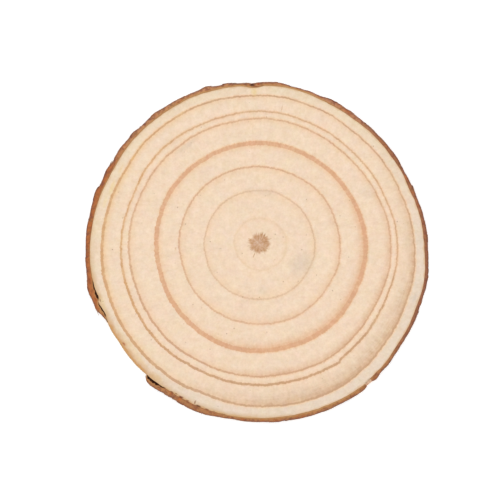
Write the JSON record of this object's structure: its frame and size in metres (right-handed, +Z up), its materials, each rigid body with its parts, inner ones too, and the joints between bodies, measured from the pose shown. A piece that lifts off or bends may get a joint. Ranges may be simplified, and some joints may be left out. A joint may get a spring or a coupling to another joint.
{
  "type": "wood slice",
  "caption": "Thin cross-cut round of young pine, with year rings on flat sawn faces and flaky bark round most of its rim. Lies flat as a coaster, craft blank or display base.",
  "frame": {"origin": "on the underside, under the middle of the outline's box; the pith is 0.75 mm towards +X and 2.54 mm towards +Y from it", "axes": "+Z up out of the upper sawn face, along the trunk; +X and +Y are the picture's right and up, so the twig trace in the bark is at +Y and the bare stretch of rim is between -X and -Y"},
  "size_m": [0.1002, 0.0994, 0.01],
  "materials": {
    "wood": "bare pine, sawn across the grain and sanded fine: pale cream with tan year rings and a brown pith, matt",
    "bark": "thin pine bark, red-brown where cut and grey-brown and flaky outside, matt"
  },
  "bodies": {
    "root": {"wood": "wood", "bark_long": "bark", "bark_short": "bark"}
  },
  "joints": []
}
